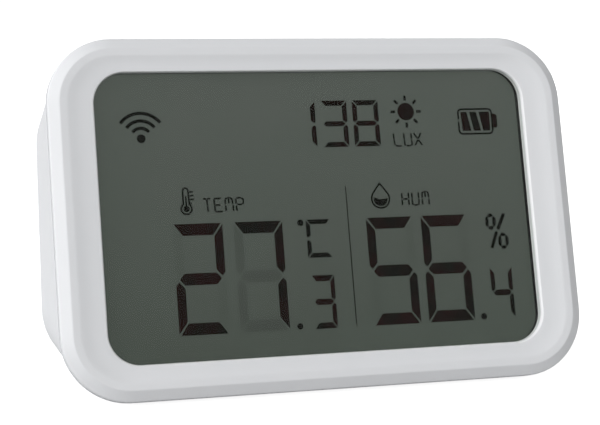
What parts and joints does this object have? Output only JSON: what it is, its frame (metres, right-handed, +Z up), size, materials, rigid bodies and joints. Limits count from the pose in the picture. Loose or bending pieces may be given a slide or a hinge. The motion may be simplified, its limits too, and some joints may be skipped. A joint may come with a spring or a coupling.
{
  "type": "temperature humidity sensor",
  "caption": "Desk temperature and humidity sensor with a leaning framed liquid crystal display, a wedge-shaped rear shell, a battery door and a pairing button.",
  "frame": {"origin": "on the table under the middle of the object's outline", "axes": "+Z up, the display faces -Y and leans back, +X to the right as seen from the front"},
  "size_m": [0.0866, 0.0315, 0.0556],
  "materials": {
    "white_housing": "satin white moulded plastic",
    "white_button": "satin white moulded plastic",
    "white_holder": "plain white moulded plastic",
    "window_clear": "clear polished window",
    "display_film": "grey-green polarising film",
    "display_glass": "thin display glass",
    "reflector": "matt silvered film",
    "dark_rubber": "black soft rubber",
    "grey_rubber": "grey rubber foot",
    "board_green": "green solder mask over glass fibre",
    "zinc_steel": "zinc-plated steel",
    "tin_can": "tinned steel",
    "black_chip": "black moulded resin",
    "clear_resin": "clear moulded resin",
    "cell_jacket": "printed steel jacket",
    "nickel_contact": "nickel-plated spring steel"
  },
  "bodies": {
    "housing": {"front_bezel": "white_housing", "rear_shell": "white_housing", "display_window": "window_clear", "window_gasket": "dark_rubber", "front_film": "display_film", "front_glass": "display_glass", "rear_glass": "display_glass", "reflector_film": "reflector", "contact_strip": "dark_rubber", "display_holder": "white_holder", "main_board": "board_green", "radio_board": "board_green", "board_screws": "zinc_steel", "shell_screws": "zinc_steel", "radio_shield": "tin_can", "climate_sensor": "black_chip", "display_driver": "black_chip", "board_chips": "black_chip", "clock_crystal": "tin_can", "light_sensor": "clear_resin", "light_pipe": "clear_resin", "switch_body": "black_chip", "cell_upper": "cell_jacket", "cell_lower": "cell_jacket", "contact_bridge": "nickel_contact", "contact_plus": "nickel_contact", "contact_minus": "nickel_contact", "contact_springs": "nickel_contact", "foot_front_left": "grey_rubber", "foot_front_right": "grey_rubber", "foot_back_left": "grey_rubber", "foot_back_right": "grey_rubber"},
    "door": {"battery_door": "white_housing"},
    "button": {"pairing_button": "white_button", "switch_plunger": "white_button"}
  },
  "joints": [
    {"name": "door_lift", "type": "slide", "parent": "housing", "child": "door", "axis": [0, 0.9983, -0.0576], "range_m": [0, 0.03]},
    {"name": "button_press", "type": "slide", "parent": "housing", "child": "button", "axis": [0, -0.9671, 0.2544], "range_m": [0, 0.0005], "stiffness_N_per_m": 3200}
  ]
}
